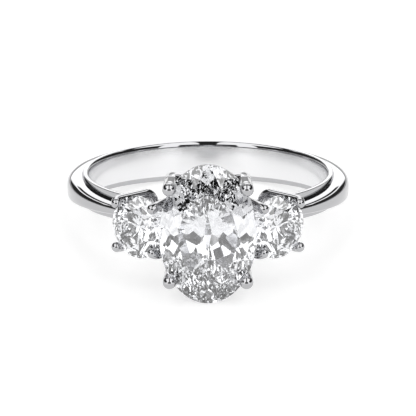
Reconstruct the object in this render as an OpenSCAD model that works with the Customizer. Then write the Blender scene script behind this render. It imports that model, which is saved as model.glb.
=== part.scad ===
// Three stone ring of polished white metal, lying on its side.
// The ring is drawn round its own axis, with the stones towards -Y, and is then laid down:
// it rests on the lower end of the oval stone and on the back of the shank.

/* [Finger hole] */
// Diameter of the finger hole
finger_d = 16.9; // [14:0.1:22]

/* [Shank] */
// Radial thickness of the inner sleeve
sleeve_wall = 0.5; // [0.4:0.05:1]
// Width of the sleeve at the back of the finger
sleeve_w_back = 2.95; // [2.4:0.05:4]
// Width of the sleeve under the stones
sleeve_w_front = 1.7; // [1.5:0.05:2.3]
// How far the outer band stands out from the sleeve
band_wall = 1.16; // [0.9:0.02:1.8]
// Width of the outer band at the sides of the finger
band_w_side = 1.88; // [1.6:0.02:2]
// Width of the outer band under the stones, where it is narrowest
band_w_front = 0.6; // [0.5:0.05:1.1]
// Height of the step from the sleeve's edge down to the outer band, at the back
step_back = 0.2; // [0.1:0.05:0.3]
// Rounding of the rim of the finger hole
rim_round = 0.18; // [0.1:0.01:0.25]

/* [Centre stone] */
// Length of the oval stone, across the finger hole's axis
centre_l = 9.5; // [7:0.1:12]
// Width of the oval stone
centre_w = 6.55; // [5:0.05:9]
// Height of its crown above the girdle
centre_crown = 0.95; // [0.6:0.05:1.4]
// Thickness of its girdle
centre_girdle = 0.2; // [0.16:0.02:0.4]
// Depth of its pavilion below the girdle
centre_pavilion = 2.8; // [2:0.05:4]
// Height of the middle of its girdle above the wall of the finger hole
centre_rise = 6.05; // [5.2:0.05:8]

/* [Side stones] */
// Diameter of each round side stone
side_d = 4.3; // [3:0.05:5.5]
// Height of its crown above the girdle
side_crown = 0.64; // [0.4:0.02:1]
// Thickness of its girdle
side_girdle = 0.15; // [0.12:0.01:0.3]
// Depth of its pavilion below the girdle
side_pavilion = 1.85; // [1.2:0.05:2.4]
// How far each side stone reaches in under the edge of the centre stone
side_tuck = 0.31; // [0:0.01:0.5]
// How far the side stone's inner edge lies below the middle of the centre stone's girdle
side_under = 0.78; // [0.5:0.02:1.4]
// Angle that each side stone turns away from the centre stone
side_turn = 36; // [20:1:45]

/* [Prongs] */
// Thickness of the centre stone's prongs
centre_prong_d = 0.96; // [0.7:0.02:1.3]
// Diameter of the ball at the end of each of them
centre_ball_d = 0.9; // [0.6:0.02:1.2]
// Radius of the bend where such a prong turns in to the shank
centre_bend = 2.4; // [1:0.05:2.6]
// Thickness of the two bars that join these prongs under the stone
centre_bar_d = 0.88; // [0.7:0.02:0.94]
// Depth of those bars under the middle of the stone's girdle
centre_bar_down = 2.5; // [2.2:0.05:3]
// Thickness of the side stones' prongs
side_prong_d = 0.66; // [0.5:0.02:0.9]
// Diameter of the ball at the end of each of them
side_ball_d = 0.68; // [0.4:0.02:0.8]
// Radius of the bend where such a prong turns in to the shank
side_bend = 0.9; // [0.5:0.05:1.2]
// Angle by which the side stones' prongs draw together towards the shank
side_draw = 8; // [4:1:10]
// Clearance between a stone and the metal that holds it
seat_gap = 0.04; // [0.02:0.01:0.08]

/* [Hidden] */

metal = [0.86, 0.86, 0.88];
stone = [0.85, 0.93, 0.98];

finger_r = finger_d / 2;
sleeve_r = finger_r + sleeve_wall;
band_r = sleeve_r + band_wall;

// Half widths of the sleeve and the outer band at the sides, and how far their faces lean
// to close up towards the stones
sleeve_half = (sleeve_w_back + sleeve_w_front) / 4;
sleeve_lean = atan((sleeve_half - sleeve_w_front / 2) / sleeve_r);
band_half = band_w_side / 2;
band_lean = atan((band_half - band_w_front / 2) / sleeve_r);

// Rounded edge of the outer band: share of its height, and depth under its side face
band_edge = [[0.2, 0], [0.57, 0.04], [0.8, 0.13], [0.93, 0.28], [1.1, 0.68]];
// Rounded rim of the finger hole, in shares of the rounding: radius, and height over the face
rim_edge = [[-0.11, -2], [0.33, -0.61], [1.11, 0.06]];
// How far cutting shapes run past what they cut
past = 6;

// Each stone has eight main facets, and each eighth of its girdle this many straight pieces
mains = 8;
girdle_cuts = 8;
table_share = 0.57;
star_share = 0.79;
lower_share = 0.24;

// Where the prongs stand round each stone's edge
centre_prong_at = 40.5;
side_prong_at = 45;
// Share of a prong's radius by which its middle stands outside the stone's edge
prong_outside = 0.37;
// Share of a ball's radius that the stone's seat takes off it
ball_flat = 0.18;
// Share of the ball's height over the girdle at which a prong starts to lean in
shoulder_share = 0.4;
// A joint's ball and a bend are this much thicker than the prong they join
joint_extra = 0.02;
// How deep the middle of a prong's foot lies under the outer band's surface
foot_depth = 0.35;

centre_out = finger_r + centre_rise;
side_x = centre_w / 2 + side_d / 2 * cos(side_turn) - side_tuck;
side_y = centre_out - side_under - side_d / 2 * sin(side_turn);

function reversed(list) = [for (i = [len(list) - 1 : -1 : 0]) list[i]];

// Puts the children's plane Z = 0 on a side face of the shank, above and below
module on_side_faces(half, lean) {
    for (side = [0, 1])
        mirror([0, 0, side]) translate([0, 0, half]) rotate([lean, 0, 0]) children();
}

// What stands over a side face of the outer band or past its rounded edge
module over_band() {
    outer = band_r + past;
    rotate_extrude($fn = 128) polygon(concat(
        [[0, past], [0, 0]],
        [for (p = band_edge) [sleeve_r + p[0] * band_wall, -p[1]]],
        [[sleeve_r + 1.1 * band_wall, -past], [outer, -past], [outer, past]]
    ));
}

module outer_band() {
    difference() {
        cylinder(r = band_r, h = past, center = true, $fn = 128);
        on_side_faces(sleeve_half - step_back, sleeve_lean) over_band();
        on_side_faces(band_half, band_lean) over_band();
    }
}

// The sleeve without its hole, its side faces leaning like a wedge's
module sleeve() {
    far = 2 * sleeve_r;
    rise = far * tan(sleeve_lean);
    intersection() {
        cylinder(r = sleeve_r, h = past, center = true, $fn = 128);
        rotate([90, 0, 90]) linear_extrude(height = 2 * far, center = true) polygon([
            [-far, rise - sleeve_half], [far, -rise - sleeve_half],
            [far, rise + sleeve_half], [-far, sleeve_half - rise]
        ]);
    }
}

module finger_hole() {
    cylinder(d = finger_d, h = 2 * past, center = true, $fn = 180);
    on_side_faces(sleeve_half, sleeve_lean) rotate_extrude($fn = 128) polygon(concat(
        [[0, -2 * rim_round]],
        [for (p = rim_edge) [finger_r + p[0] * rim_round, p[1] * rim_round]],
        [[finger_r + 1.11 * rim_round, 1], [0, 1]]
    ));
}

// A rod with round section from one point to another
module rod(from, to, r_from, r_to) {
    v = to - from;
    translate(from)
        rotate([0, acos(v[2] / norm(v)), atan2(v[1], v[0])])
            cylinder(h = norm(v), r1 = r_from, r2 = r_to, $fn = 32);
}

module ball(at, r) {
    translate(at) sphere(r = r, $fn = 32);
}

// A point on a stone's edge, and the way straight out from it
function edge_point(w, l, at) = [w / 2 * cos(at), l / 2 * sin(at)];
function edge_normal(w, l, at) = let (v = [cos(at) / w, sin(at) / l]) v / norm(v);
// Distance from the stone's middle to the tangent at that point
function edge_reach(w, l, at) = edge_point(w, l, at) * edge_normal(w, l, at);

// How far a line from a point runs in one direction until it is at radius r from the origin
function run_to(from, dir, r) = -(from * dir) - sqrt(pow(from * dir, 2) - from * from + r * r);

// Two prongs of a head, above and below, bent from one wire that crosses the shank.
// The head's frame has the stone's length along Y, its table towards +Z and the girdle at 0.
// The ring's axis runs through ring_at, which is given across and up.
module prong_pair(side, w, l, crown, girdle, at, draw, wire_r, ball_r, bend, ring_at) {
    edge = edge_point(w, l, at);
    stem = edge + edge_normal(w, l, at) * prong_outside * wire_r;
    slope = atan(crown / (edge_reach(w, l, at) * (1 - table_share)));
    tip_z = girdle / 2 + ((1 - ball_flat) * ball_r + seat_gap) / cos(slope);
    shoulder_z = shoulder_share * tip_z;
    tilt = side * draw;
    start = [side * stem[0], 0] - ring_at;
    drop = run_to(start, [-sin(tilt), -cos(tilt)], band_r - foot_depth);

    for (v = [-1, 1]) {
        shoulder = [side * stem[0] + shoulder_z * sin(tilt), v * stem[1], shoulder_z * cos(tilt)];
        tip = [side * edge[0], v * edge[1], tip_z];
        ball(shoulder, wire_r + joint_extra);
        rod(shoulder, tip, wire_r, 0.9 * ball_r);
        ball(tip, ball_r);
    }
    translate([side * stem[0], 0, 0]) rotate([0, tilt, 0]) {
        for (v = [-1, 1]) {
            rod([0, v * stem[1], bend - drop - joint_extra], [0, v * stem[1], shoulder_z], wire_r, wire_r);
            translate([0, v * (stem[1] - bend), bend - drop])
                rotate([0, 90, 0])
                    rotate([0, 0, v > 0 ? 0 : -90])
                        rotate_extrude(angle = 90, $fn = 64)
                            translate([bend, 0]) circle(r = wire_r + joint_extra, $fn = 32);
        }
        rod([0, bend - stem[1] - joint_extra, -drop], [0, stem[1] - bend + joint_extra, -drop], wire_r, wire_r);
    }
}

// Height of the star facets' corners over the girdle, and depth of the lower facets' under it
function star_height(crown) = crown * (1 - star_share * cos(180 / mains)) / (1 - table_share);
function lower_height(pavilion) = pavilion * (1 - lower_share * cos(180 / mains));

// A brilliant cut stone with its table towards +Z and the middle of its girdle at 0.
// All facets are flat: the girdle's edges rise and dip where the facets meet it.
module brilliant(w, l, crown, girdle, pavilion) {
    turn = 360 / mains;
    piece = turn / girdle_cuts;
    count = mains * girdle_cuts;
    star_z = star_height(crown);
    lower_z = lower_height(pavilion);

    // Height of a break facet's plane over the girdle, at a point on the edge:
    // the plane passes through both ends of its edge and through the inner corner
    function dip(a, inner, height) = let (
        t = abs(turn / 2 - abs(turn / 2 - (a % turn))),
        across = cos(t - turn / 4) / cos(turn / 4) - 1,
        depth = 1 - inner
    ) -height * across / depth;
    function on_edge(a) = [cos(a), sin(a)];

    top = [for (i = [0 : count - 1]) let (a = i * piece)
        concat(on_edge(a), girdle / 2 + dip(a, star_share, star_z))];
    bottom = [for (i = [0 : count - 1]) let (a = i * piece)
        concat(on_edge(a), -girdle / 2 - dip(a, lower_share, lower_z))];
    table = [for (k = [0 : mains - 1]) concat(table_share * on_edge(k * turn), girdle / 2 + crown)];
    stars = [for (k = [0 : mains - 1])
        concat(star_share * on_edge((k + 0.5) * turn), girdle / 2 + star_z)];
    lowers = [for (k = [0 : mains - 1])
        concat(lower_share * on_edge((k + 0.5) * turn), -girdle / 2 - lower_z)];
    culet = [[0, 0, -girdle / 2 - pavilion]];
    points = [for (p = concat(top, bottom, table, stars, lowers, culet))
        [p[0] * w / 2, p[1] * l / 2, p[2]]];

    b = count;
    t0 = 2 * count;
    s0 = t0 + mains;
    l0 = s0 + mains;
    c0 = l0 + mains;
    faces = concat(
        [reversed([for (k = [0 : mains - 1]) t0 + k])],
        [for (k = [0 : mains - 1]) [t0 + k, t0 + (k + 1) % mains, s0 + k]],
        [for (k = [0 : mains - 1])
            [t0 + k, s0 + k, k * girdle_cuts, s0 + (k + mains - 1) % mains]],
        [for (k = [0 : mains - 1]) each [for (h = [0, 1])
            concat([s0 + k], reversed([for (i = [0 : girdle_cuts / 2])
                (k * girdle_cuts + h * girdle_cuts / 2 + i) % count]))]],
        [for (i = [0 : count - 1]) [i, (i + 1) % count, b + (i + 1) % count, b + i]],
        [for (k = [0 : mains - 1]) each [for (h = [0, 1])
            concat([l0 + k], [for (i = [0 : girdle_cuts / 2])
                b + (k * girdle_cuts + h * girdle_cuts / 2 + i) % count])]],
        [for (k = [0 : mains - 1])
            [c0, l0 + (k + mains - 1) % mains, b + k * girdle_cuts, l0 + k]]
    );
    polyhedron(points, faces);
}

// Places of the three stones in the ring's own frame
module at_centre() {
    translate([0, -centre_out, 0]) rotate([90, 0, 0]) children();
}

module at_left() {
    translate([-side_x, -side_y, 0]) rotate([0, 0, -side_turn]) rotate([90, 0, 0]) children();
}

module at_right() {
    mirror([1, 0, 0]) at_left() children();
}

module side_head() {
    ring_at = [
        side_x * cos(side_turn) - side_y * sin(side_turn),
        -side_x * sin(side_turn) - side_y * cos(side_turn)
    ];
    for (side = [-1, 1])
        prong_pair(
            side, side_d, side_d, side_crown, side_girdle, side_prong_at, side_draw,
            side_prong_d / 2, side_ball_d / 2, side_bend, ring_at
        );
}

module centre_head() {
    for (side = [-1, 1])
        prong_pair(
            side, centre_w, centre_l, centre_crown, centre_girdle, centre_prong_at, 0,
            centre_prong_d / 2, centre_ball_d / 2, centre_bend, [0, -centre_out]
        );
    // One bar above the shank and one below, each from prong to prong
    stem = edge_point(centre_w, centre_l, centre_prong_at)
        + edge_normal(centre_w, centre_l, centre_prong_at) * prong_outside * centre_prong_d / 2;
    for (v = [-1, 1])
        rod([-stem[0], v * stem[1], -centre_bar_down], [stem[0], v * stem[1], -centre_bar_down],
            centre_bar_d / 2, centre_bar_d / 2);
}

// The room for a stone, with the clearance all round it
module seat(w, l, crown, girdle, pavilion) {
    brilliant(
        w + 2 * seat_gap, l + 2 * seat_gap, crown + seat_gap, girdle + seat_gap,
        pavilion + seat_gap
    );
}

module centre_seat() {
    seat(centre_w, centre_l, centre_crown, centre_girdle, centre_pavilion);
}

module side_seat() {
    seat(side_d, side_d, side_crown, side_girdle, side_pavilion);
}

// The ring's lie: it touches the floor with the oval stone's lower end and the sleeve's back
front_y = -(centre_out - centre_girdle / 2);
back_y = sleeve_r;
lie = atan((centre_l / 2 - sleeve_w_back / 2) / (back_y - front_y));
floor_z = centre_l / 2 * cos(lie) + front_y * sin(lie);
centre_edge = edge_point(centre_w, centre_l, centre_prong_at);
centre_slope = atan(centre_crown
    / (edge_reach(centre_w, centre_l, centre_prong_at) * (1 - table_share)));
ball_y = centre_out + centre_girdle / 2
    + ((1 - ball_flat) * centre_ball_d / 2 + seat_gap) / cos(centre_slope);
reach_front = ball_y * cos(lie) + centre_edge[1] * sin(lie) + centre_ball_d / 2;
crest_half = sleeve_w_back / 2 - step_back - 0.4;
reach_back = band_r * cos(lie) + crest_half * sin(lie);

module lay_down() {
    translate([0, (reach_front - reach_back) / 2, floor_z]) rotate([-lie, 0, 0]) children();
}

module mounting() {
    color(metal) lay_down() difference() {
        union() {
            sleeve();
            outer_band();
            at_centre() centre_head();
            at_left() side_head();
            at_right() side_head();
        }
        finger_hole();
        at_centre() centre_seat();
        at_left() side_seat();
        at_right() side_seat();
    }
}

module centre_stone() {
    color(stone) lay_down() at_centre()
        brilliant(centre_w, centre_l, centre_crown, centre_girdle, centre_pavilion);
}

module left_stone() {
    color(stone) lay_down() at_left()
        brilliant(side_d, side_d, side_crown, side_girdle, side_pavilion);
}

module right_stone() {
    color(stone) lay_down() at_right()
        brilliant(side_d, side_d, side_crown, side_girdle, side_pavilion);
}

mounting();
centre_stone();
left_stone();
right_stone();
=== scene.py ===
import bmesh
import bpy
import numpy as np
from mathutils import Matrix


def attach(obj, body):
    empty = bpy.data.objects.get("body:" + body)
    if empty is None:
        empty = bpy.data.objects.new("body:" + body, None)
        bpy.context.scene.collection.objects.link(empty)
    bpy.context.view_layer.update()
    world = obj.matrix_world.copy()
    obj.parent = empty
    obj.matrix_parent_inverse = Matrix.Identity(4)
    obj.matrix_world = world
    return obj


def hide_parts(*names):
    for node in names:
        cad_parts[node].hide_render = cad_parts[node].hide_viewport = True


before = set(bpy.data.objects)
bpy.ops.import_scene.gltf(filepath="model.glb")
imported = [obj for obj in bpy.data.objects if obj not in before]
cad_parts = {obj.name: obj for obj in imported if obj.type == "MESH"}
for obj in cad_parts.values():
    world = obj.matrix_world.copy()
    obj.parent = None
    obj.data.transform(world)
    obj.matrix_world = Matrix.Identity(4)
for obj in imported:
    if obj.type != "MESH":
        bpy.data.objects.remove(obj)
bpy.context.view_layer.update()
scene = bpy.context.scene
mm = 0.001

# The ring is worked out round its own axis in mm: X to the right, Y to the back of the finger,
# Z along the finger. ringPlace then lays it down as the CAD model lies.
ringPlace = {
    "lean": 7.984,  # degrees that the finger hole's axis leans back
    "middle": (0.0, 2.8374, 2.7038),  # where the ring's middle is over the floor
}


def layDown(points):
    # turns the points about X by the lean, then moves them to the ring's place, in metres
    lean = np.radians(ringPlace["lean"])
    x, y, z = np.moveaxis(np.asarray(points, float), -1, 0)
    placed = np.stack([x, y * np.cos(lean) + z * np.sin(lean), z * np.cos(lean) - y * np.sin(lean)], -1)
    return (placed + ringPlace["middle"]) * mm


def smoothStep(low, high, x):
    # 0 below low, 1 above high, and three t squared minus two t cubed between them
    t = np.clip((x - low) / (high - low), 0, 1)
    return t * t * (3 - 2 * t)


def hexToLinear(code):
    # sRGB hex to linear: each channel over 12.92 when dark, else ((c + 0.055) / 1.055) to the 2.4
    c = np.array([int(code[i:i + 2], 16) for i in (1, 3, 5)]) / 255
    return (*np.where(c <= 0.04045, c / 12.92, ((c + 0.055) / 1.055) ** 2.4), 1.0)


def addNode(tree, kind, settings=None, inputs=None):
    # settings are the node's own properties; an input is a value or another node's output
    node = tree.nodes.new(kind)
    for name, value in (settings or {}).items():
        setattr(node, name, value)
    for name, value in (inputs or {}).items():
        if isinstance(value, bpy.types.NodeSocket):
            tree.links.new(value, node.inputs[name])
        else:
            node.inputs[name].default_value = value
    return node


def newMaterial(name, values):
    material = bpy.data.materials.new(name)
    material.use_nodes = True
    shader = material.node_tree.nodes["Principled BSDF"]
    for key, value in values.items():
        shader.inputs[key].default_value = value
    return material


# 14 karat white gold under rhodium plate, buffed to a mirror: it shows the studio, a shade darker
rhodiumGold = newMaterial("Rhodium plated white gold", {
    "Base Color": hexToLinear("#BABABC"),
    "Metallic": 1.0,
    "Roughness": 0.03,
})

# The same metal inside the finger hole, where a softer polish blurs and evens what it mirrors. Its base
# colour is painted paler than the outer metal's, a lit copy of it, so that the wall looks paler
innerGoldPaintedPaler = newMaterial("Softly polished white gold, painted paler", {
    "Base Color": hexToLinear("#EDEDEE"),
    "Metallic": 1.0,
    "Roughness": 0.22,
})

# Colourless diamond, faceted and polished: a trace of blue at most, and a high index that turns
# light back
diamond = newMaterial("Colourless diamond", {
    "Base Color": hexToLinear("#F1F2F5"),
    "Roughness": 0.0,
    "IOR": 2.417,
    "Transmission Weight": 1.0,
})

# Opal acrylic sheet, lit from below: an even white that only the nearest shadows darken
opalAcrylic = newMaterial("Opal acrylic", {
    "Base Color": hexToLinear("#BCBCBC"),
    "Roughness": 0.6,
    "Specular IOR Level": 0.2,
    "Emission Color": (1.0, 1.0, 1.0, 1.0),
    "Emission Strength": 0.65,
})


def makePiece(name, points, faces, material, smooth=True):
    # a mesh with its normals outwards, its place in its points and its object at the origin
    mesh = bpy.data.meshes.new(name)
    mesh.from_pydata(points.reshape(-1, 3).tolist(), [], faces)
    mesh.polygons.foreach_set("use_smooth", np.full(len(mesh.polygons), smooth))
    mesh.materials.append(material)
    shape = bmesh.new()
    shape.from_mesh(mesh)
    bmesh.ops.recalc_face_normals(shape, faces=shape.faces[:])
    shape.to_mesh(mesh)
    shape.free()
    piece = bpy.data.objects.new(name, mesh)
    scene.collection.objects.link(piece)
    return piece


def gridFaces(rows, columns, closedRows=True):
    # quads of a grid of points, closed across its columns and, if asked, across its rows
    i, j = np.meshgrid(np.arange(rows if closedRows else rows - 1), np.arange(columns), indexing="ij")
    k, m = (i + 1) % rows, (j + 1) % columns
    quads = np.stack([i * columns + j, i * columns + m, k * columns + m, k * columns + j], -1)
    return quads.reshape(-1, 4)


shankSizes = {
    "holeRadius": 8.45,
    "holeBulge": 0.05,  # the wall of the finger hole swells in by this much to its middle
    "sleeveRadius": 8.95,
    "bandRadius": 10.11,
    "sleeveHalfSide": 1.1625,  # half width of the sleeve at the sides of the finger
    "sleeveHalfFront": 0.85,
    "bandHalfSide": 0.94,
    "bandHalfFront": 0.3,
    "stepBack": 0.2,  # from the sleeve's edge down to the outer band, behind the finger
    "rimHeight": 0.36,
    "rimDepth": 0.2,
    "edgeBevel": 0.05,
    "grooveWidth": 0.05,  # fine groove at the foot of the step
    "grooveDepth": 0.1,
    "squareness": 3.5,
    "faceBlend": 0.06,  # softens the change from one side face of the band to the other
    "around": 480,
}


def shankSection(angle):
    # Half section at an angle from the back, as radius and height. The side faces are planes that
    # lean with y, so a height grows with radius times the cosine. The outer band is a
    # superellipse: radius by sine and height by cosine, each to the power of two over squareness.
    s = shankSizes
    cosine = np.cos(angle)[:, None]

    def halfWidth(atSide, atFront, r):
        return s[atSide] + (s[atSide] - s[atFront]) * cosine * r / s["sleeveRadius"]

    def sleeveTop(r):
        return halfWidth("sleeveHalfSide", "sleeveHalfFront", r)

    def bandTop(r):
        # the lower of two planes, rounded where they cross
        wide = halfWidth("bandHalfSide", "bandHalfFront", r)
        narrow = sleeveTop(r) - s["stepBack"]
        return 0.5 * (wide + narrow - np.sqrt((wide - narrow) ** 2 + s["faceBlend"] ** 2))

    quarter = np.linspace(0, np.pi / 2, 9)
    # wall of the finger hole, then its rounded rim
    wallShare = np.linspace(0, 0.98, 10)
    wallR = s["holeRadius"] + s["holeBulge"] * wallShare ** 2
    wallZ = (sleeveTop(wallR) - s["rimHeight"]) * wallShare
    rimR = s["holeRadius"] + s["holeBulge"] + s["rimDepth"] * (1 - np.cos(quarter))
    rimZ = sleeveTop(rimR) - s["rimHeight"] * (1 - np.sin(quarter))
    # flat top of the sleeve and its small outer bevel
    topR = np.linspace(rimR[-1], s["sleeveRadius"] - s["edgeBevel"], 5)[1:-1]
    topZ = sleeveTop(topR)
    bevelR = s["sleeveRadius"] - s["edgeBevel"] * (1 - np.sin(quarter[::2]))
    bevelZ = sleeveTop(bevelR) - s["edgeBevel"] * (1 - np.cos(quarter[::2]))
    # foot of the step: down the wall, half a turn round the groove's bottom and up to the band
    footTop = bandTop(np.array([s["sleeveRadius"]]))
    footR = s["sleeveRadius"] + s["grooveWidth"] * np.concatenate([(1 - np.cos(2 * quarter)) / 2, [1]])
    footZ = footTop - s["grooveDepth"] * np.concatenate([0.75 + 0.25 * np.sin(2 * quarter), [0.1]])
    # outer band, evenly spaced in radius near its foot and in height near its crest
    u = np.linspace(0, 1, 42)[1:]
    turn = (u ** 1.75 / (u ** 1.75 + (1 - u) ** 1.75)) * np.pi / 2
    power = 2 / s["squareness"]
    bandR = s["sleeveRadius"] + (s["bandRadius"] - s["sleeveRadius"]) * np.sin(turn) ** power
    bandZ = bandTop(bandR) * np.maximum(np.cos(turn), 0) ** power
    keep = bandR > footR[-1] + 0.01
    radii = np.concatenate([wallR, rimR, topR, bevelR, footR, bandR[keep]])
    heights = np.concatenate([np.broadcast_to(z, (len(angle), z.shape[-1])) for z in (
        wallZ, rimZ, topZ, bevelZ, footZ, bandZ[:, keep])], axis=1)
    return np.broadcast_to(radii, heights.shape), heights


def makeShank():
    # the half section and its mirror image below, carried once round the finger
    angle = np.linspace(0, 2 * np.pi, shankSizes["around"], endpoint=False)
    r, z = shankSection(angle)
    r = np.concatenate([r, r[:, -2:0:-1]], axis=1)
    z = np.concatenate([z, -z[:, -2:0:-1]], axis=1)
    points = np.stack([r * np.sin(angle)[:, None], r * np.cos(angle)[:, None], z], -1)
    faces = gridFaces(*r.shape)
    piece = makePiece("Shank", layDown(points), faces.tolist(), rhodiumGold)
    # the wall of the finger hole gets the lit copy of the metal, its colour painted paler
    piece.data.materials.append(innerGoldPaintedPaler)
    inside = r[0][faces % r.shape[1]].max(axis=1) < shankSizes["holeRadius"] + shankSizes["holeBulge"]
    piece.data.polygons.foreach_set("material_index", inside.astype(np.int32))
    return piece


shank = makeShank()
print("shank made,", len(shank.data.vertices), "points")

centreStone = {
    "length": 9.5, "width": 6.55, "crown": 0.95, "girdle": 0.2, "pavilion": 2.8,
    "middle": (0.0, -14.5), "turn": 0.0,
    "table": 0.57,
}
sideStone = {
    "length": 4.3, "width": 4.3, "crown": 0.64, "girdle": 0.15, "pavilion": 1.85,
    "middle": (4.7044, -12.4563), "turn": 36.0,
    "table": 0.57,
}


def toRing(points, stone, side=1):
    # from a stone's own frame (across, along, up) to the ring's: turned about Z, mirrored on the left
    across, along, up = np.moveaxis(np.asarray(points, float), -1, 0)
    turn = np.radians(stone["turn"])
    x = across * np.cos(turn) + up * np.sin(turn) + stone["middle"][0]
    y = across * np.sin(turn) - up * np.cos(turn) + stone["middle"][1]
    return np.stack([side * x, y, along], -1)


def stoneEdge(stone, angle):
    # a point on the stone's oval outline: half width by the cosine, half length by the sine, and
    # the way straight out there: cosine over width, sine over length, brought to length 1
    point = np.stack([stone["width"] / 2 * np.cos(angle), stone["length"] / 2 * np.sin(angle)], -1)
    out = np.stack([np.cos(angle) / stone["width"], np.sin(angle) / stone["length"]], -1)
    return point, out / np.linalg.norm(out, axis=-1, keepdims=True)


# The oval stone's facets, tier by tier from the girdle: how many, share of a step that they are
# turned by, slope, and how far from the girdle they meet the outline, as a share of the height.
# Under the girdle the slope is in degrees, over it in shares of the main facets' slope.
ovalCut = {
    "below": [
        (32, 0.5, 47.5, 0.0), (24, 0.3, 44.2, 0.02), (16, 0.6, 41.6, 0.06),
        (12, 0.15, 39.2, 0.11), (8, 0.6, 36.5, 0.18), (6, 0.35, 32.0, 0.3),
    ],
    "above": [(32, 0.5, 1.4, 0.0), (16, 0.5, 1.18, 0.03), (8, 0.0, 1.0, 0.06), (8, 0.5, 0.6, 0.42)],
    "outline": 96,
}


def cutOval(name, stone, cut, material):
    # A slab with the oval outline is cut by one plane after another, as a cutter grinds facets
    count = cut["outline"]
    top = stone["girdle"] / 2 + stone["crown"]
    bottom = -stone["girdle"] / 2 - stone["pavilion"]
    rim, _ = stoneEdge(stone, np.linspace(0, 2 * np.pi, count, endpoint=False))
    shape = bmesh.new()
    upper = [shape.verts.new((*p, top)) for p in rim]
    lower = [shape.verts.new((*p, bottom)) for p in rim]
    shape.faces.new(upper)
    shape.faces.new(lower[::-1])
    for k in range(count):
        shape.faces.new((lower[k], lower[(k + 1) % count], upper[(k + 1) % count], upper[k]))
    for side, height, tiers in ((-1, stone["pavilion"], cut["below"]), (1, stone["crown"], cut["above"])):
        for facets, phase, slope, away in tiers:
            for angle in (np.arange(facets) + phase) * 2 * np.pi / facets:
                point, out = stoneEdge(stone, angle)
                rise = np.tan(np.radians(slope))
                if side > 0:
                    rise = slope * stone["crown"] / (point @ out * (1 - stone["table"]))
                start = (*point, side * (stone["girdle"] / 2 + away * height))
                cutEdges = bmesh.ops.bisect_plane(
                    shape, geom=shape.verts[:] + shape.edges[:] + shape.faces[:], dist=1e-5,
                    plane_co=start, plane_no=(*out * rise, side), clear_outer=True)["geom_cut"]
                cutEdges = [e for e in cutEdges if isinstance(e, bmesh.types.BMEdge)]
                if len(cutEdges) > 2:
                    bmesh.ops.contextual_create(shape, geom=cutEdges)
    mesh = bpy.data.meshes.new(name)
    shape.to_mesh(mesh)
    shape.free()
    points = np.array([v.co for v in mesh.vertices])
    faces = [tuple(f.vertices) for f in mesh.polygons]
    return makePiece(name, layDown(toRing(points, stone)), faces, material, smooth=False)


oval = cutOval("Oval_stone", centreStone, ovalCut, diamond)
print("oval stone cut,", len(oval.data.polygons), "facets")

# The prongs, in mm: "wire" and "ball" are radii, and "bend" is the radius of the turn across the
# shank. "at" is the angle on the stone's outline and "draw" the stem's lean, in degrees. "wireOut",
# "ballOut" and "flat" are shares of the radii, and "shoulder" is a share of the tip's height.
centreProngs = {
    "at": 41.0, "wire": 0.48, "ball": 0.46, "bend": 2.5, "draw": 3.0, "wireOut": 0.2, "ballOut": 0.25,
    "flat": 0.18, "gap": 0.04, "shoulder": 0.4, "elbow": 0.35, "footDepth": 0.35,
}
sideProngs = {
    "at": 45.0, "wire": 0.33, "ball": 0.34, "bend": 0.9, "draw": 8.0, "wireOut": 0.6, "ballOut": 0.0,
    "flat": 0.18, "gap": 0.04, "shoulder": 0.4, "elbow": 0.35, "footDepth": 0.35,
}
bars = {"wire": 0.5, "down": 2.5, "bend": 1.06, "start": 1.2, "thinner": 0.05, "straightShare": 0.4}
tubeSides = 40


def stemPlace(stone, prongs):
    # where a prong stands: outside the stone's edge by a share of its own radius
    point, out = stoneEdge(stone, np.radians(prongs["at"]))
    return point + out * prongs["wireOut"] * prongs["wire"]


def prongPath(stone, prongs, side):
    # One wire bent as a U across the shank. Half of it runs from the tip over the stone's edge,
    # through the shoulder, down the stem and round a quarter circle to the shank's middle.
    point, out = stoneEdge(stone, np.radians(prongs["at"]))
    edge = point + out * prongs["ballOut"] * prongs["wire"]
    stem = stemPlace(stone, prongs)
    draw = np.radians(side * prongs["draw"])
    slope = np.arctan(stone["crown"] / (point @ out * (1 - stone["table"])))
    tipUp = stone["girdle"] / 2 + ((1 - prongs["flat"]) * prongs["ball"] + prongs["gap"]) / np.cos(slope)
    shoulderUp = prongs["shoulder"] * tipUp

    # how far down the stem runs until its middle is a little under the outer band's surface
    turn = np.radians(stone["turn"])
    x, y = stone["middle"]
    start = np.array([
        side * stem[0] + x * np.cos(turn) + y * np.sin(turn), x * np.sin(turn) - y * np.cos(turn)])
    down = np.array([-np.sin(draw), -np.cos(draw)])
    depth = shankSizes["bandRadius"] - prongs["footDepth"]
    drop = -(start @ down) - np.sqrt((start @ down) ** 2 - start @ start + depth ** 2)

    def along(s):
        # a point of the stem's line, s above the girdle
        return np.stack([side * stem[0] + s * np.sin(draw), np.full_like(s, stem[1]), s * np.cos(draw)], -1)

    tip = np.array([side * edge[0], edge[1], tipUp])
    shoulder = along(np.array([shoulderUp]))
    # straight over the stone's edge to 0.55 of the way, then a curve drawn towards the shoulder
    claw = tip + (shoulder - tip) * np.linspace(0, 0.55, 6)[:, None]
    elbowUp = shoulderUp - prongs["elbow"]
    elbow = along(np.array([elbowUp]))
    t = np.linspace(0, 1, 10)[:, None]
    corner = (1 - t) ** 2 * claw[-1] + 2 * t * (1 - t) * shoulder + t ** 2 * elbow
    straight = along(np.linspace(elbowUp, prongs["bend"] - drop, 14))
    q = np.linspace(0, np.pi / 2, 18)
    bend = along(prongs["bend"] * (1 - np.sin(q)) - drop)
    bend[:, 1] -= prongs["bend"] * (1 - np.cos(q))
    half = np.concatenate([claw, corner[1:], straight[1:], bend[1:]])
    return np.concatenate([half, half[::-1] * [1, -1, 1]])


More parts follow.
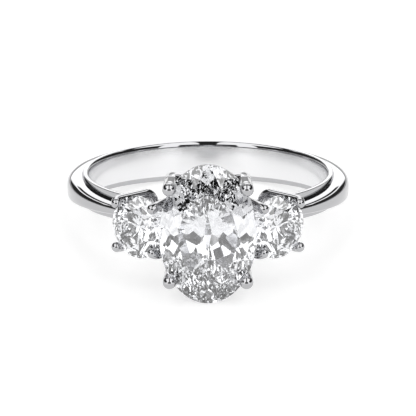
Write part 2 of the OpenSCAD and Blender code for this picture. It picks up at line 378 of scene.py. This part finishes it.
def makeTube(name, path, radius, across, stone, leftRight, material):
    # A round tube: at each point of the path a circle in the plane square to it, cosine times one
    # side and sine times the other. Each end closes as a half ball, whose circles move out by the
    # radius times the sine of an angle and shrink with its cosine.
    rings = 8  # circles in each half ball
    ends = np.linspace(0, np.pi / 2, rings + 1)[1:, None]
    first, final = path[0] - path[1], path[-1] - path[-2]
    first, final = first / np.linalg.norm(first), final / np.linalg.norm(final)
    tangent = np.gradient(path, axis=0)
    tangent /= np.linalg.norm(tangent, axis=1)[:, None]
    tangent = np.concatenate([np.repeat([-first], rings, 0), tangent, np.repeat([final], rings, 0)])
    middle = np.concatenate([
        path[0] + first * radius[0] * np.sin(ends[::-1]),
        path,
        path[-1] + final * radius[-1] * np.sin(ends),
    ])
    wide = np.concatenate([radius[0] * np.cos(ends[::-1, 0]), radius, radius[-1] * np.cos(ends[:, 0])])
    one = across - tangent * (tangent @ across)[:, None]
    one /= np.linalg.norm(one, axis=1)[:, None]
    two = np.cross(tangent, one)
    a = np.linspace(0, 2 * np.pi, tubeSides, endpoint=False)
    circles = middle[1:-1, None] + wide[1:-1, None, None] * (
        one[1:-1, None] * np.cos(a)[:, None] + two[1:-1, None] * np.sin(a)[:, None])

    # quads along the tube, and a fan of triangles to the point at each end
    rows = len(circles)
    corners = rows * tubeSides
    j = np.arange(tubeSides)
    fan = np.stack([j, (j + 1) % tubeSides], -1)
    faces = gridFaces(rows, tubeSides, closedRows=False).tolist()
    faces += [(*f, corners) for f in fan.tolist()]
    faces += [(*f, corners + 1) for f in (fan + corners - tubeSides).tolist()]
    points = np.concatenate([circles.reshape(-1, 3), middle[[0, -1]]])
    return makePiece(name, layDown(toRing(points, stone, leftRight)), faces, material)


def makeProngs(name, stone, prongs, side, leftRight):
    # a tube along the prong's path, as wide as its ball at each end and as its wire between
    path = prongPath(stone, prongs, side)
    run = np.concatenate([[0], np.cumsum(np.linalg.norm(np.diff(path, axis=0), axis=1))])
    swell = smoothStep(0, 1.2 * prongs["ball"], np.minimum(run, run[-1] - run))
    radius = prongs["ball"] + (prongs["wire"] - prongs["ball"]) * swell
    return makeTube(name, path, radius, np.array([1.0, 0, 0]), stone, leftRight, rhodiumGold)


def makeBar(name, stone, prongs, upDown):
    # A wire under the stone from one prong to the other: down along the prong, round a quarter
    # circle, and across. Its ends thin out inside the prongs.
    stem = stemPlace(stone, prongs)
    draw = np.radians(prongs["draw"])
    reach = stem[0] - bars["down"] * np.tan(draw)
    q = np.linspace(0, np.pi / 2, 16)
    legUp = np.linspace(-bars["start"], bars["bend"] - bars["down"], 7)[:-1]
    leg = np.stack([np.full(6, reach), legUp], -1)
    turn = np.stack([
        reach - bars["bend"] * (1 - np.cos(q)), bars["bend"] * (1 - np.sin(q)) - bars["down"]], -1)
    for part in (leg, turn):
        part[:, 0] += (part[:, 1] + bars["down"]) * np.tan(draw)
    half = np.concatenate([leg, turn, [[bars["straightShare"] * reach, -bars["down"]]]])
    across = np.concatenate([half[:, 0], -half[::-1, 0]])
    up = np.concatenate([half[:, 1], half[::-1, 1]])
    path = np.stack([across, np.full(len(across), upDown * stem[1]), up], -1)
    n = np.arange(len(path))
    fromEnd = np.minimum(n, n[::-1]).astype(float)
    radius = bars["wire"] - bars["thinner"] * (1 - smoothStep(0, 6, fromEnd))
    return makeTube(name, path, radius, np.array([0, 1.0, 0]), stone, 1, rhodiumGold)


wires = [
    makeProngs(f"Prong_wire_{n}", stone, prongs, side, leftRight)
    for n, (stone, prongs, side, leftRight) in enumerate([
        (centreStone, centreProngs, -1, 1), (centreStone, centreProngs, 1, 1),
        (sideStone, sideProngs, -1, -1), (sideStone, sideProngs, 1, -1),
        (sideStone, sideProngs, -1, 1), (sideStone, sideProngs, 1, 1),
    ], 1)
]
wires += [
    makeBar("Upper_bar", centreStone, centreProngs, 1),
    makeBar("Lower_bar", centreStone, centreProngs, -1),
]
for piece in [shank, *wires]:
    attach(piece, "root")
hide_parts("mounting")
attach(oval, "root")
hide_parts("centre_stone")
print("prongs made,", len(wires), "wires")

for name in ("left_stone", "right_stone"):
    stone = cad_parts[name]
    stone.data.materials.clear()
    stone.data.materials.append(diamond)

floorHalf = 0.6  # half the floor's side, in metres
floorMesh = bpy.data.meshes.new("Floor")
floorCorners = [(x * floorHalf, y * floorHalf, 0) for x, y in ((-1, -1), (1, -1), (1, 1), (-1, 1))]
floorMesh.from_pydata(floorCorners, [], [(0, 1, 2, 3)])
floorMesh.materials.append(opalAcrylic)
floor = bpy.data.objects.new("Floor", floorMesh)
scene.collection.objects.link(floor)

# A white tent, lit evenly, with the gaps between its panels dark. Each gap is a range of two or
# three measures of the direction: height over the horizon, how far it points to the back on the
# level, how far behind the zenith, how far to the side, and how far to the side for its height.
# A gap with a "light" lets that share of the tent's light through.
studio = {
    "strength": 1.78,
    "dark": 0.02,
    "soft": 0.012,
    "gaps": [
        {"outward": (0.92, 99.0), "height": (0.11, 0.62), "back": (-0.64, 0.955)},
        {"outward": (0.48, 0.72), "height": (0.3, 0.75), "back": (0.1, 1.1)},
        {"behind": (0.14, 0.54), "side": (-0.8, 0.8), "height": (0.2, 1.1)},
        {"behind": (-0.9, 0.2), "side": (-0.14, 0.14), "height": (0.35, 1.1)},
        {"back": (-1.1, -0.87), "height": (0.02, 0.45)},
        {"height": (-1.1, 0.1), "back": (-0.3, 1.1), "light": 0.25},
    ],
}


def addMath(tree, operation, a, b=0.0):
    return addNode(tree, "ShaderNodeMath", {"operation": operation}, {0: a, 1: b}).outputs[0]


def makeStudio():
    world = bpy.data.worlds.new("White tent")
    world.use_nodes = True
    tree = world.node_tree
    tree.nodes.clear()
    place = addNode(tree, "ShaderNodeTexCoord")
    split = addNode(tree, "ShaderNodeSeparateXYZ", inputs={"Vector": place.outputs["Generated"]})
    x, y, z = (split.outputs[k] for k in "XYZ")
    almostOne = 1.0001  # just over 1, so that neither root is zero
    level = addMath(tree, "SQRT", addMath(tree, "SUBTRACT", almostOne, addMath(tree, "MULTIPLY", z, z)))
    upright = addMath(tree, "SQRT", addMath(tree, "SUBTRACT", almostOne, addMath(tree, "MULTIPLY", x, x)))
    measures = {
        "height": z,
        "side": x,
        "back": addMath(tree, "DIVIDE", y, level),
        "behind": addMath(tree, "DIVIDE", y, upright),
        "outward": addMath(tree, "DIVIDE", addMath(tree, "ABSOLUTE", x), z),
    }
    bright = None
    for gap in studio["gaps"]:
        inside = None
        limits = {name: gap[name] for name in gap if name != "light"}
        for name, (low, high) in limits.items():
            for limit, sign in ((low, 1), (high, -1)):
                edge = addNode(tree, "ShaderNodeMapRange", {"interpolation_type": "SMOOTHSTEP"}, {
                    "Value": measures[name],
                    "From Min": limit - sign * studio["soft"], "From Max": limit + sign * studio["soft"]})
                edge = edge.outputs["Result"]
                inside = edge if inside is None else addMath(tree, "MULTIPLY", inside, edge)
        loss = addMath(tree, "MULTIPLY", inside, 1 - gap.get("light", 0.0))
        outside = addMath(tree, "SUBTRACT", 1.0, loss)
        bright = outside if bright is None else addMath(tree, "MULTIPLY", bright, outside)
    bright = addMath(tree, "MAXIMUM", bright, studio["dark"])
    light = addNode(tree, "ShaderNodeBackground", {}, {"Color": bright, "Strength": studio["strength"]})
    addNode(tree, "ShaderNodeOutputWorld", inputs={"Surface": light.outputs["Background"]})
    scene.world = world


makeStudio()

shot = {
    "elevation": 20.78,
    "distance": 200.0,  # mm from the ring's middle
    "width": 29.86,  # mm of the object that the picture's width takes in
    "below": 1.58,  # the view's middle is this far under the ring's middle, in mm
}


def makeCamera():
    data = bpy.data.cameras.new("Camera")
    data.sensor_width = 36.0
    data.lens = data.sensor_width * shot["distance"] / shot["width"]
    data.clip_start, data.clip_end = 0.001, 10.0
    camera = bpy.data.objects.new("Camera", data)
    scene.collection.objects.link(camera)
    tilt = np.radians(shot["elevation"])
    away = np.array([0, -np.cos(tilt), np.sin(tilt)])
    camera.location = (np.array(ringPlace["middle"]) + away * shot["distance"]) * mm
    camera.rotation_euler = (np.pi / 2 - tilt - np.arctan(shot["below"] / shot["distance"]), 0, 0)
    scene.camera = camera


makeCamera()
scene.view_settings.view_transform = "Standard"

# light turns round many times in a cut stone before it comes out
stoneBounces = 40
scene.cycles.max_bounces = stoneBounces
scene.cycles.transmission_bounces = stoneBounces
scene.cycles.glossy_bounces = 12
print("studio and camera set")
